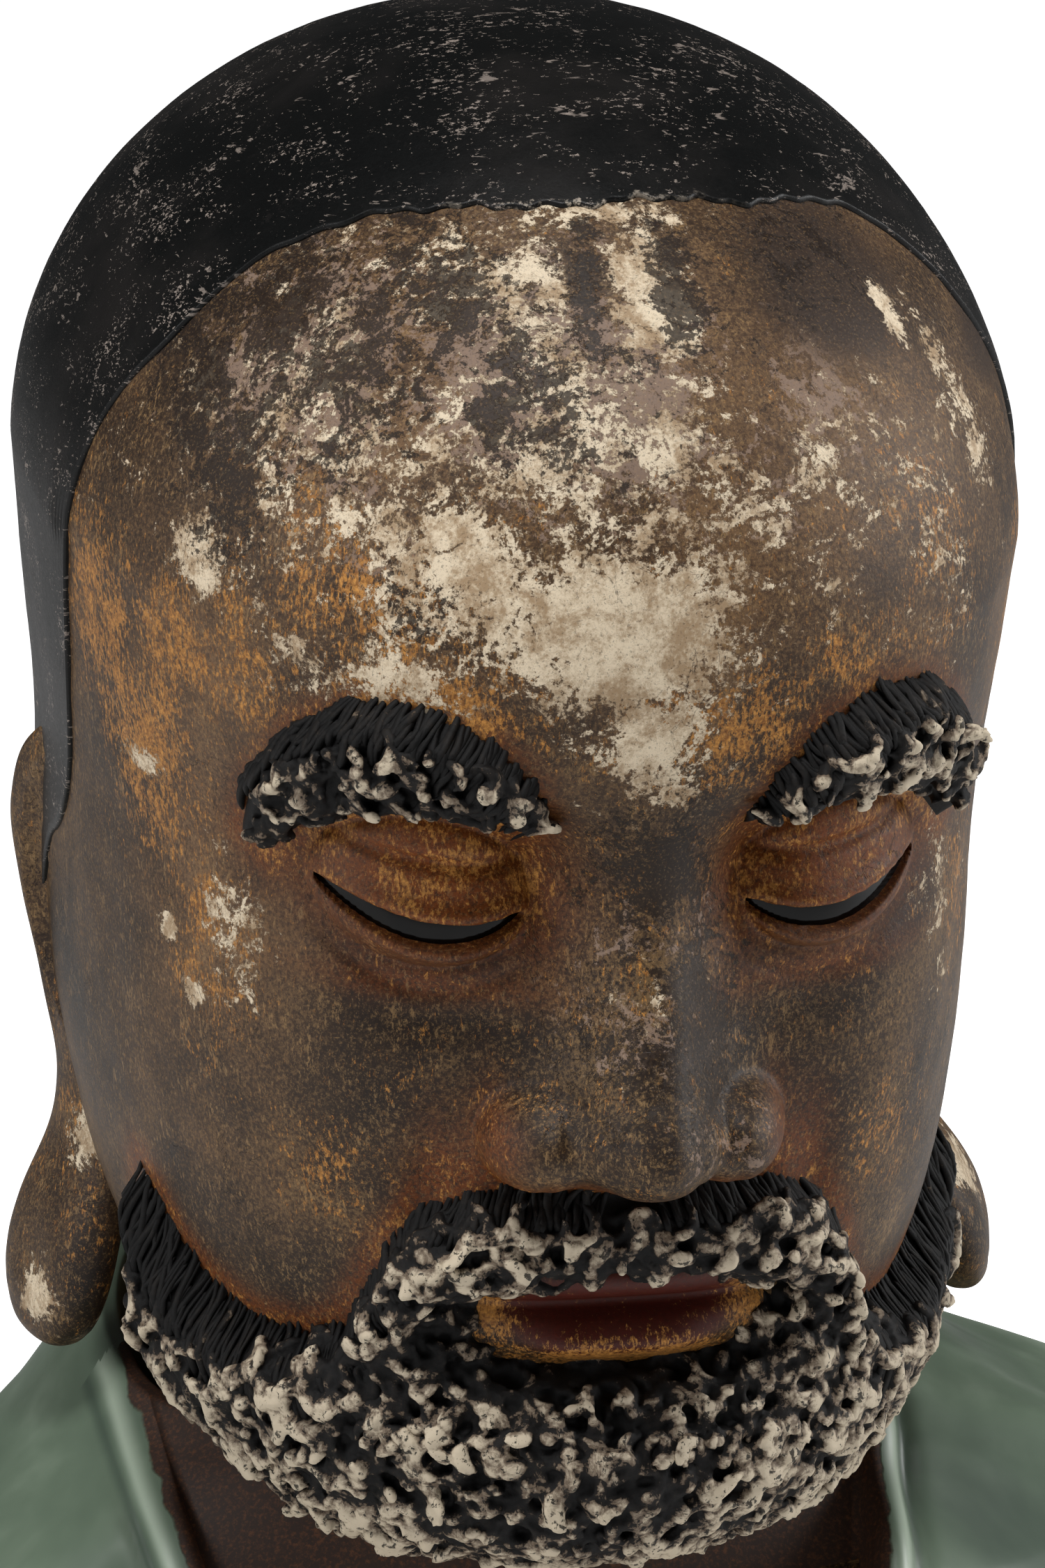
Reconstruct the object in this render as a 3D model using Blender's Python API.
"""Bust of a bearded monk in fired clay: head, neck and robed shoulders, modelled and fired as one piece.

Run it with: blender --background --python part.py. Metres, +Z up, the face looks along -Y.
The figure keeps a sculptor's canon: the head is 132 parts high, and every place and size is in those parts.
"""

import math

import bmesh
import bpy
import numpy as np

# Driving sizes
HEAD_HEIGHT = 0.132  # crown to chin
CANON = 132.0  # parts in the head's height
PART = HEAD_HEIGHT / CANON  # one part, in metres

# Pose, in parts and degrees
HEAD_CENTRE = (0.0, -20.0, 150.0)  # between the ears, on the eye line, above the middle of the shoulders
BOW = 10.0  # how far the head is bowed
WIDEST_Y = 8.0  # plane of the head's greatest breadth, behind the ear canal

# Mesh density: columns are closest together in front
HEAD_COLUMNS = 68
FRONT_CROWDING = 0.45
NECK_RINGS, BEARD_RINGS, FACE_RINGS, VAULT_RINGS = 4, 19, 20, 10
EAR_RINGS, EAR_COLUMNS = 16, 12
ROBE_RINGS = 17
CHEST_COLUMNS, CLOTH_COLUMNS = 4, 25

# The skull's vault is a quarter ellipse from its widest level to the crown
VAULT_BASE, CROWN = 22.0, 66.0
NECK_BOTTOM, JAW_LEVEL, NOSE_BASE = -112.0, -74.0, -31.0
CROWN_Y = 5.0

# Outlines of the head at heights z: half breadth, front and back
HALF_BREADTH = (
    (-112, 34), (-95, 32.5), (-80, 31.5), (-72, 32), (-66, 33.5), (-58, 36.8), (-50, 39.8),
    (-40, 42), (-30, 43.2), (-18, 43.8), (-6, 44.2), (6, 45.6), (22, 47.3),
)
FRONT = (
    (-112, 20), (-95, 18), (-79.5, 18), (-74.5, 21), (-71, 30), (-67.5, 40), (-62.5, 47.5), (-56, 50.5),
    (-48.5, 51), (-40, 53), (-28, 53), (-14, 53), (0, 54), (12, 57), (22, 58.5),
)
BACK = (
    (-112, 47), (-90, 43), (-70, 41.5), (-56, 42.5), (-42, 47), (-28, 53.5), (-12, 58), (6, 60), (22, 60),
)
SECTION_POWER = ((-112, 2.0), (-74, 2.1), (-50, 2.4), (-20, 2.45), (22, 2.2), (66, 2.0))

# Soft forms of the face, at places beside the middle line: rise, x, z, half width and half height
FACE_FORMS = {
    "lower_lip": (2.6, 0, -44.6, 11, 3.0),
    "upper_lip": (1.8, 0, -38, 12, 3.0),
    "parting_of_the_lips": (-1.6, 0, -41, 15, 1.3),
    "hollow_under_the_lip": (-1.8, 0, -50, 10, 3.5),
    "chin": (3.0, 0, -58, 12, 6.5),
    "cheekbone": (2.2, 27, -19, 11, 12),
    "brow_ridge": (1.4, 19, 13, 15, 6),
    "eye_socket": (-5.6, 19, 2.5, 12.5, 8),
}
FACING = (0.05, 0.45)  # cosines of the azimuths between which the face's forms fade in

# The nose, by height: how far it stands out, and its half width
NOSE_RISE = (
    (-34, 0), (-30, 0.6), (-28, 4), (-26.2, 9.5), (-24, 12.6), (-21.5, 13.4), (-18, 12.2), (-12, 9),
    (-6, 6.2), (0, 3.8), (6, 2.2), (13, 0),
)
NOSE_HALF_WIDTH = ((-34, 8.4), (-24, 8.2), (-20, 8), (-12, 6.8), (-4, 6), (13, 7.5))
BRIDGE_SQUARENESS, NOSE_BLEND = 2.2, 0.25
NOSTRIL_WING = {"x": 9.4, "z": -23.2, "half_width": 5.4, "half_height": 5.4, "rise": 8.2}

# The eyes, downcast, with nearly closed lids over the balls and a narrow bowed opening
EYE = {"x": 19.5, "z": 0.0, "half_width": 9.6, "half_height": 7.0, "rise": 5.0}
LID_OPENING = {"drop": 1.5, "sag": 2.8, "half_height": 1.4, "depth": 1.0, "taper": 0.9}

# Outlines on the unrolled face: along the surface from the middle line, and height
SPREAD = (58.0, 6.0)  # the face's radius, and how much it shrinks towards the sides
MOUTH_GAP = {"z": -43.0, "half_width": 17.0, "half_height": 6.0, "edge": (0.9, 1.35)}
BEARD_OUTLINE = (
    (-6, -29), (8, -28.5), (15, -29.5), (21, -32), (25, -36), (28, -41), (31, -45.5), (36, -48.5),
    (43, -49.2), (50, -47.5), (55.5, -44.5), (58.5, -42), (60.5, -41), (63, -44), (63, -51), (60.5, -57),
    (56, -61), (50, -64), (38, -69), (24, -73), (10, -74.5), (-6, -74.5),
)
BROW_OUTLINE = (
    (10, 7.5), (12, 12.5), (17, 17), (24, 19.3), (31, 18.4), (37.5, 14), (41.5, 8), (43, 1.5), (40, 0),
    (35.5, 3.5), (29.5, 7), (22, 8.5), (15, 8),
)
BEARD_THICKNESS, MOUSTACHE_THICKNESS, BROW_THICKNESS = 6.2, 3.8, 3.2
BEARD_THICKENS = (-43.0, -57.0)  # heights between which the moustache grows into the full beard
BEARD_EDGE, BROW_EDGE = (-0.5, 3.5), (-1.5, 2.5)  # distances inside the outline over which hair rises
BROW_LOCKS = 0.6  # relief of the brows' locks, as a share of the beard's
LOCK_RELIEF = 1.1  # how far a lock stands out of the beard around it
LOCK_SWAY = 0.8  # how far a lock leans aside

# The ears, down their length from the top: front edge, back edge, thickness and flare
EAR_TOP, EAR_LENGTH = -4.0, 67.0
EAR_X, EAR_Y, EAR_ANGLE = 38.5, 7.0, 15.0
EAR_HINGE = 8.0  # the ear turns out about a line this far ahead of it
EAR_END = 0.06  # half angle left open at the tips
EAR_FRONT = ((0, -2), (3, -6.5), (12, -9), (24, -7.5), (34, -6), (44, -6), (54, -8), (61, -7), (67, -1))
EAR_BACK = ((0, 2), (3, 8), (12, 14), (22, 13), (32, 9.5), (42, 7.5), (54, 9), (61, 8), (67, 1))
EAR_THICKNESS = ((0, 2.5), (5, 5.5), (20, 6), (34, 5), (46, 6), (58, 8), (64, 6.5), (67, 2.5))
EAR_FLARE = ((0, 0), (14, 0), (32, -1.4), (44, -1.2), (56, 1.6), (67, 3.2))
WIDE_LOBE = {"flare": 8.0, "from": 34.0, "to": 62.0}  # the left ear's lobe stands out more
EAR_HOLLOW = {"down": 19.0, "across": 1.0, "half_length": 11.0, "half_width": 6.0, "depth": 3.2}

# The robed shoulders, from the base up to the collar and down inside it: height, half breadth, front, back
ROBE_RINGS_AT = (
    (0, 87, 45, 47), (2, 89, 47, 49), (14, 92, 49.5, 51), (30, 93, 50.5, 52), (42, 90.5, 50, 51.5),
    (51, 83, 48, 49.5), (58.5, 72.5, 44.5, 47), (65.8, 59, 39.5, 44), (72.2, 47.5, 34.5, 41),
    (77.8, 40, 30, 38), (80.8, 37.2, 27, 36.6), (80.8, 35.6, 25.4, 35), (77.8, 34.4, 24, 33.8),
    (71, 29, 20, 29),
)
ROBE_POWER = 2.35
OPENING_EDGE = ((0, 14), (20, 19.5), (45, 27), (66, 33), (82, 35.4), (92, 35.6))
OPENING_DEPTH = 4.6
EDGE_LIMIT = 0.97  # widest place of the opening's edge, as a share of the half breadth
COLLAR = {"band": 8.5, "rise": 1.5, "step": (-1.0, 1.5), "front": (0, 0.3)}
COLLAR_GROOVE = {"depth": 0.9, "half_width": 2.0}
COLLAR_LIFT = 9.0  # how much higher the collar stands behind the neck
LIFT_HEIGHTS, LIFT_SPREAD = (66.0, 80.0), (-0.5, 0.8)
SHOULDER_SLANT = 0.095  # rise of the shoulders from the monk's right to the left, per part of breadth
SLANT_HEIGHTS = (10.0, 50.0)  # heights between which the slant grows to its full share
FOLDS = {"depth": 1.9, "count": 7.0, "half_breadth": 60.0, "half_depth": 34.0, "reach": (0.75, 1.3)}
HEM_FADE = 12.0  # height over which the folds grow out of the cut base
PLAIN_TOP_RINGS = (3, 5)  # rings from the top between which the relief fades out


def curve(keys):
    """A smooth function through (place, value) keys: cubic pieces with the slopes of their neighbours."""
    xs, ys = (np.array(column, float) for column in zip(*keys, strict=True))
    slopes = np.gradient(ys, xs)

    def value(x):
        x = np.clip(np.asarray(x, float), xs[0], xs[-1])
        i = np.clip(np.searchsorted(xs, x, side="right") - 1, 0, len(xs) - 2)
        span = xs[i + 1] - xs[i]
        t = (x - xs[i]) / span
        return (
            ys[i] * (1 + 2 * t) * (1 - t) ** 2
            + slopes[i] * span * t * (1 - t) ** 2
            + ys[i + 1] * t * t * (3 - 2 * t)
            - slopes[i + 1] * span * t * t * (1 - t)
        )

    return value


def ramp(x, low, high):
    """0 below low, 1 above high and smooth between."""
    t = np.clip((x - low) / (high - low), 0, 1)
    return t * t * (3 - 2 * t)


def dome(across, up):
    """1 at the middle of an ellipse of half sizes 1, falling steeply to 0 at its rim."""
    return np.clip(1 - across**2 - up**2, 0, 1) ** 0.75


def swell(across, up):
    """1 at the middle, fading softly outwards."""
    return np.exp(-(across**2) - up**2)


def inside(along, height, outline):
    """Distance inside a closed outline on the unrolled face, in parts, and minus the distance outside it."""
    nearest = np.full(np.shape(along), np.inf)
    crossings = np.zeros(np.shape(along), int)
    for (ax, az), (bx, bz) in zip(outline, outline[1:] + outline[:1], strict=True):
        dx, dz = bx - ax, bz - az
        share = np.clip(((along - ax) * dx + (height - az) * dz) / (dx * dx + dz * dz), 0, 1)
        nearest = np.minimum(nearest, np.hypot(along - ax - share * dx, height - az - share * dz))
        if dz:
            at = ax + (height - az) * dx / dz
            crossings += ((az > height) != (bz > height)) & (along < at)
    return np.where(crossings % 2, nearest, -nearest)


def unrolled(azimuth):
    """Distance along the face from its middle line, in parts, for an azimuth in radians."""
    a = np.abs(azimuth)
    return SPREAD[0] * a - SPREAD[1] * a * a


def column_azimuths():
    u = np.arange(HEAD_COLUMNS) * 2 / HEAD_COLUMNS - 1
    return math.pi * (FRONT_CROWDING * u + (1 - FRONT_CROWDING) * u**3)


def ring_heights():
    neck = np.linspace(NECK_BOTTOM, JAW_LEVEL, NECK_RINGS, endpoint=False)
    beard = np.linspace(JAW_LEVEL, NOSE_BASE, BEARD_RINGS, endpoint=False)
    face = np.linspace(NOSE_BASE, VAULT_BASE, FACE_RINGS, endpoint=False)
    climb = np.sin(np.linspace(0, math.pi / 2, VAULT_RINGS, endpoint=False))
    vault = VAULT_BASE + (CROWN - VAULT_BASE) * climb
    return np.concatenate([neck, beard, face, vault])


def skull(azimuth, height):
    """The plain head, without features: points at these azimuths and heights."""
    shrink = np.sqrt(np.clip(1 - ((height - VAULT_BASE) / (CROWN - VAULT_BASE)) ** 2, 0, 1))
    shrink = np.where(height > VAULT_BASE, shrink, 1)
    low = np.minimum(height, VAULT_BASE)
    power = 2 / curve(SECTION_POWER)(height)
    side, ahead = np.sin(azimuth), np.cos(azimuth)
    middle = WIDEST_Y + (CROWN_Y - WIDEST_Y) * (1 - shrink)
    x = curve(HALF_BREADTH)(low) * shrink * np.sign(side) * np.abs(side) ** power
    front = (curve(FRONT)(low) + WIDEST_Y) * shrink
    back = (curve(BACK)(low) - WIDEST_Y) * shrink
    reach = np.where(ahead > 0, -front, back) * np.abs(ahead) ** power
    return np.stack([x, middle + reach, height + 0 * x], axis=-1)


def normals_of(grid):
    """Outward unit normals of a grid of rings, each ring closed."""
    around = np.roll(grid, -1, axis=1) - np.roll(grid, 1, axis=1)
    along = np.gradient(grid, axis=0)
    normal = np.cross(around, along)
    return normal / np.maximum(np.linalg.norm(normal, axis=-1, keepdims=True), 1e-9)


def nose(x, z):
    """How far the nose stands out of the face."""
    bridge = curve(NOSE_RISE)(z) * np.exp(-((np.abs(x) / curve(NOSE_HALF_WIDTH)(z)) ** BRIDGE_SQUARENESS))
    wing = NOSTRIL_WING
    across, up = (np.abs(x) - wing["x"]) / wing["half_width"], (z - wing["z"]) / wing["half_height"]
    lump = wing["rise"] * dome(across, up)
    return np.maximum(bridge, lump) + NOSE_BLEND * np.minimum(bridge, lump)


def eyes(x, z):
    """The eyes' relief: closed lid over the ball, and the narrow opening under the lid."""
    e, gap = EYE, LID_OPENING
    share = (np.abs(x) - e["x"]) / e["half_width"]
    ball = e["rise"] * dome(share, (z - e["z"]) / e["half_height"])
    share = np.clip(share, -1, 1)
    slit = e["z"] - gap["drop"] - gap["sag"] * (1 - share**2)
    return ball - gap["depth"] * swell(share * gap["taper"], (z - slit) / gap["half_height"])


def soft_forms(x, z):
    """The rise of the lips, chin, cheekbones and brow ridges, and the eye sockets' depth."""
    return sum(
        rise * swell((np.abs(x) - at) / width, (z - level) / height)
        for rise, at, level, width, height in FACE_FORMS.values()
    )


def locks(rows, columns):
    """Locks of hair for a grid of points: every other one stands out by an amount that varies, and sways."""
    i, j = np.meshgrid(np.arange(rows), np.arange(columns), indexing="ij")
    varied = 0.6 + 0.8 * np.abs(np.sin(12.9898 * i + 78.233 * j))
    relief = LOCK_RELIEF * np.where((i + j) % 2, 1, -0.6) * varied
    sway = LOCK_SWAY * np.stack([np.sin(39.425 * i + 11.135 * j), np.sin(17.17 * i + 61.73 * j)])
    return relief, sway


def head_grid():
    """The head with its face, beard, moustache and brows, in parts, about the head's own centre."""
    azimuth, height = np.meshgrid(column_azimuths(), ring_heights())
    grid = skull(azimuth, height)
    normal = normals_of(grid)
    x, z = grid[..., 0], grid[..., 2]
    facing = ramp(np.cos(azimuth), *FACING)
    forward = (nose(x, z) + eyes(x, z) + soft_forms(x, z)) * facing

    along = unrolled(azimuth)
    gap = MOUTH_GAP
    from_mouth = np.hypot(along / gap["half_width"], (z - gap["z"]) / gap["half_height"])
    beard = ramp(inside(along, z, BEARD_OUTLINE), *BEARD_EDGE) * ramp(from_mouth, *gap["edge"])
    fullness = ramp(z, *BEARD_THICKENS)
    thickness = MOUSTACHE_THICKNESS + (BEARD_THICKNESS - MOUSTACHE_THICKNESS) * fullness
    brow = ramp(inside(along, z, BROW_OUTLINE), *BROW_EDGE) * facing
    relief, sway = locks(*along.shape)
    grid += normal * (beard * (thickness + relief) + brow * (BROW_THICKNESS + BROW_LOCKS * relief))[..., None]
    hairy = np.maximum(beard, brow)
    grid[..., 0] += hairy * sway[0] * np.cos(azimuth)
    grid[..., 1] += hairy * sway[0] * np.sin(azimuth) - forward
    grid[..., 2] += hairy * sway[1]
    return grid


def ear_grid(side):
    """One ear with its long lobe: rings down its length, flattened, hollowed on the outer face."""
    down, turn = np.meshgrid(
        EAR_LENGTH * (1 - np.cos(np.linspace(EAR_END, math.pi - EAR_END, EAR_RINGS))) / 2,
        np.arange(EAR_COLUMNS) * 2 * math.pi / EAR_COLUMNS,
        indexing="ij",
    )
    front, back = curve(EAR_FRONT)(down), curve(EAR_BACK)(down)
    across = (front + back) / 2 + (back - front) / 2 * np.cos(turn)
    outward = curve(EAR_THICKNESS)(down) / 2 * np.sin(turn)
    hollow = EAR_HOLLOW
    sunk = hollow["depth"] * dome(
        (across - hollow["across"]) / hollow["half_width"], (down - hollow["down"]) / hollow["half_length"]
    )
    outward -= sunk * (np.sin(turn) > 0)
    angle = math.radians(EAR_ANGLE)
    flare = curve(EAR_FLARE)(down)
    if side > 0:
        flare += WIDE_LOBE["flare"] * ramp(down, WIDE_LOBE["from"], WIDE_LOBE["to"])
    x = EAR_X + flare + (across + EAR_HINGE) * math.sin(angle) + outward * math.cos(angle)
    y = EAR_Y + across * math.cos(angle) - outward * math.sin(angle)
    return np.stack([side * x, y, EAR_TOP - down], axis=-1)


def bowed(points):
    """Points about the head's centre, in parts, put in the bust's place with the head's bow."""
    c, s = math.cos(math.radians(BOW)), math.sin(math.radians(BOW))
    x, y, z = np.moveaxis(points, -1, 0)
    return np.stack([x, c * y - s * z, s * y + c * z], axis=-1) + HEAD_CENTRE


def robe_rings():
    """Height, half breadth, front and back of each ring of the robe, spaced along its outline."""
    keys = np.array(ROBE_RINGS_AT, float)
    length = np.concatenate([[0], np.cumsum(np.linalg.norm(np.diff(keys[:, :3], axis=0), axis=1) ** 0.7)])
    at = np.linspace(0, length[-1], ROBE_RINGS)
    return [np.interp(at, length, keys[:, k]) for k in range(4)]


def robe_grid():
    """Shoulders under a robe that is open over the chest, in parts above the middle of the base."""
    height, breadth, front, back = (values[:, None] for values in robe_rings())
    edge = curve(OPENING_EDGE)(height)
    edge_turn = np.arcsin(np.clip(edge / breadth, 0, EDGE_LIMIT) ** (ROBE_POWER / 2))
    chest = np.linspace(0, 1, CHEST_COLUMNS)[None, :] * edge_turn
    cloth = edge_turn + np.linspace(0, 1, CLOTH_COLUMNS)[None, :] * (math.pi - edge_turn)
    half = np.concatenate([chest, cloth], axis=1)
    on_chest = np.arange(half.shape[1]) < CHEST_COLUMNS
    turn = np.concatenate([half, -half[:, -2:0:-1]], axis=1)
    on_chest = np.concatenate([on_chest, on_chest[-2:0:-1]])

    side, ahead = np.sin(turn), np.cos(turn)
    power = 2 / ROBE_POWER
    x = breadth * np.sign(side) * np.abs(side) ** power
    y = np.where(ahead > 0, -front, back) * np.abs(ahead) ** power
    lift = COLLAR_LIFT * ramp(height, *LIFT_HEIGHTS) * ramp(-ahead, *LIFT_SPREAD)
    slant = SHOULDER_SLANT * x * ramp(height, *SLANT_HEIGHTS)
    grid = np.stack([x, y, height + lift + slant], axis=-1)
    normal = normals_of(grid)
    past_band = np.abs(x) - edge - COLLAR["band"]
    in_front = ramp(ahead, *COLLAR["front"])
    band = COLLAR["rise"] * (1 - ramp(past_band, *COLLAR["step"])) * in_front
    groove = COLLAR_GROOVE["depth"] * swell(past_band / COLLAR_GROOVE["half_width"], 0 * x) * in_front
    reach = ramp(np.hypot(x / FOLDS["half_breadth"], y / FOLDS["half_depth"]), *FOLDS["reach"])
    folds = FOLDS["depth"] * reach * np.sin(FOLDS["count"] * np.abs(turn))
    relief = np.where(on_chest, -OPENING_DEPTH, band - groove + folds) * ramp(height, 0, HEM_FADE)
    rings_left = ROBE_RINGS - np.arange(ROBE_RINGS)[:, None]
    return grid + normal * (relief * ramp(rings_left, *PLAIN_TOP_RINGS))[..., None]


def solid_from(name, grid, top_point=None):
    """A closed mesh object from a grid of rings, in parts: sides, a flat bottom and a flat or pointed top."""
    rows, columns = grid.shape[:2]
    mesh = bmesh.new()
    rings = [[mesh.verts.new(point * PART) for point in ring] for ring in grid]
    for i in range(rows - 1):
        for j in range(columns):
            k = (j + 1) % columns
            corners = (rings[i][j], rings[i][k], rings[i + 1][k], rings[i + 1][j])
            a, b, c, d = corners if (i + j) % 2 else corners[1:] + corners[:1]
            mesh.faces.new((a, b, c))
            mesh.faces.new((a, c, d))
    mesh.faces.new(reversed(rings[0]))
    if top_point is None:
        mesh.faces.new(rings[-1])
    else:
        top = mesh.verts.new(np.array(top_point) * PART)
        for j in range(columns):
            mesh.faces.new((rings[-1][j], rings[-1][(j + 1) % columns], top))
    bmesh.ops.recalc_face_normals(mesh, faces=mesh.faces)
    data = bpy.data.meshes.new(name)
    mesh.to_mesh(data)
    mesh.free()
    obj = bpy.data.objects.new(name, data)
    bpy.context.scene.collection.objects.link(obj)
    return obj


def join_to(body, other):
    """Fuses another solid into the body by a Boolean union, and removes it."""
    union = body.modifiers.new("fuse " + other.name, "BOOLEAN")
    union.operation = "UNION"
    union.solver = "EXACT"
    union.object = other
    bpy.context.view_layer.objects.active = body
    bpy.ops.object.modifier_apply(modifier=union.name)
    bpy.data.objects.remove(other)


def centre_on_base(obj):
    """Moves the mesh so that the middle of its box's underside is the origin."""
    points = np.array([v.co for v in obj.data.vertices])
    low, high = points.min(axis=0), points.max(axis=0)
    shift = ((low + high) / 2 * [1, 1, 0] + low * [0, 0, 1]).tolist()
    for v in obj.data.vertices:
        v.co = [a - b for a, b in zip(v.co, shift, strict=True)]


def clay():
    """Dark fired clay under worn lacquer."""
    material = bpy.data.materials.new("fired_clay")
    material.use_nodes = True
    shader = material.node_tree.nodes["Principled BSDF"]
    shader.inputs["Base Color"].default_value = (0.11, 0.07, 0.045, 1)
    shader.inputs["Roughness"].default_value = 0.6
    shader.inputs["Metallic"].default_value = 0.0
    return material


def main():
    for old in list(bpy.data.objects):
        bpy.data.objects.remove(old)
    bust = solid_from("monk_bust", robe_grid())
    crown = bowed(np.array([0, CROWN_Y, CROWN]))
    join_to(bust, solid_from("head", bowed(head_grid()), crown))
    for side, name in ((-1, "right_ear"), (1, "left_ear")):
        join_to(bust, solid_from(name, bowed(ear_grid(side))))
    centre_on_base(bust)
    bust.data.materials.clear()
    bust.data.materials.append(clay())


main()
